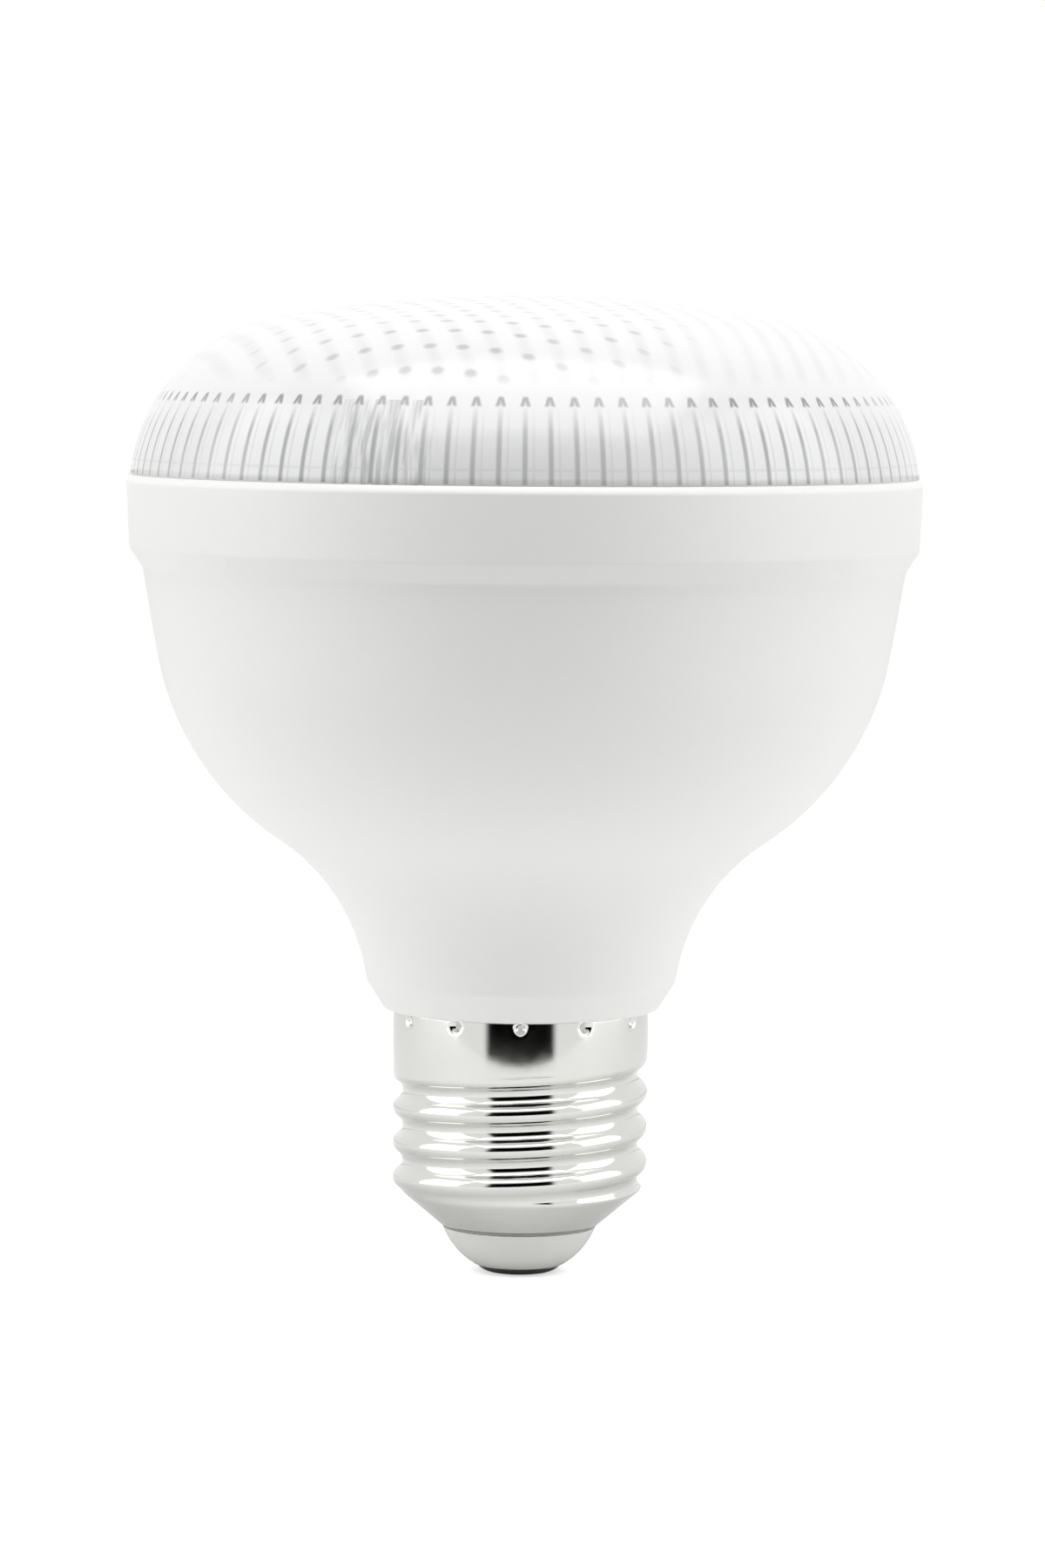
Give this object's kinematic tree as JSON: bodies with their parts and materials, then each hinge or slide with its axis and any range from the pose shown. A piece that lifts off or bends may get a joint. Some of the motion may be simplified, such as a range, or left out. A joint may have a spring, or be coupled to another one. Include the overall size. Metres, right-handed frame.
{
  "type": "led torch bulb",
  "caption": "Mains LED reflector bulb: a clear prismatic lens on a white bell housing that narrows to a nickel screw cap, with the LED board, heat sink and driver sealed inside.",
  "frame": {"origin": "centre of the flat face of the centre contact, the lowest point of the bulb standing cap down", "axes": "+Z along the bulb's axis from the cap to the lens; -Y faces the camera of the picture; +X to the right in it"},
  "size_m": [0.0812, 0.0812, 0.1001],
  "materials": {
    "clear_polycarbonate": "clear, smooth outside and prismatic inside",
    "white_plastic": "satin moulded plastic",
    "nickel_plate": "bright nickel plate on thin brass sheet",
    "pale_insulator": "smooth moulded insulator",
    "contact_metal": "plain tinned contact",
    "aluminium_sheet": "spun sheet, plain",
    "white_solder_mask": "matt white coat on an aluminium board",
    "led_phosphor": "yellow phosphor in a white package",
    "steel_screw": "zinc plated",
    "green_laminate": "coated glass-fibre board",
    "capacitor_sleeve": "black shrink sleeve",
    "ferrite": "sintered, matt",
    "bobbin_plastic": "moulded",
    "winding_tape": "yellow polyester tape",
    "black_epoxy": "moulded epoxy",
    "film_box": "smooth plastic box",
    "resistor_coat": "lacquer",
    "resistor_ceramic": "glazed ceramic chip",
    "red_sleeve": "flexible lead cover",
    "black_sleeve": "flexible lead cover",
    "terminal_plastic": "moulded"
  },
  "bodies": {
    "root": {"lens": "clear_polycarbonate", "housing": "white_plastic", "heat_sink": "aluminium_sheet", "led_board": "white_solder_mask", "led_chips": "led_phosphor", "board_screws": "steel_screw", "lead_terminal": "terminal_plastic", "driver_board": "green_laminate", "input_capacitor": "capacitor_sleeve", "output_capacitor": "capacitor_sleeve", "filter_inductor": "ferrite", "transformer_core": "ferrite", "transformer_bobbin": "bobbin_plastic", "transformer_winding": "winding_tape", "bridge_rectifier": "black_epoxy", "driver_ic": "black_epoxy", "output_diode": "black_epoxy", "film_capacitor": "film_box", "fuse_resistor": "resistor_coat", "chip_resistors": "resistor_ceramic", "positive_lead": "red_sleeve", "negative_lead": "black_sleeve", "live_lead": "red_sleeve", "neutral_lead": "black_sleeve", "screw_shell": "nickel_plate", "tip_insulator": "pale_insulator", "centre_contact": "contact_metal"}
  },
  "joints": []
}
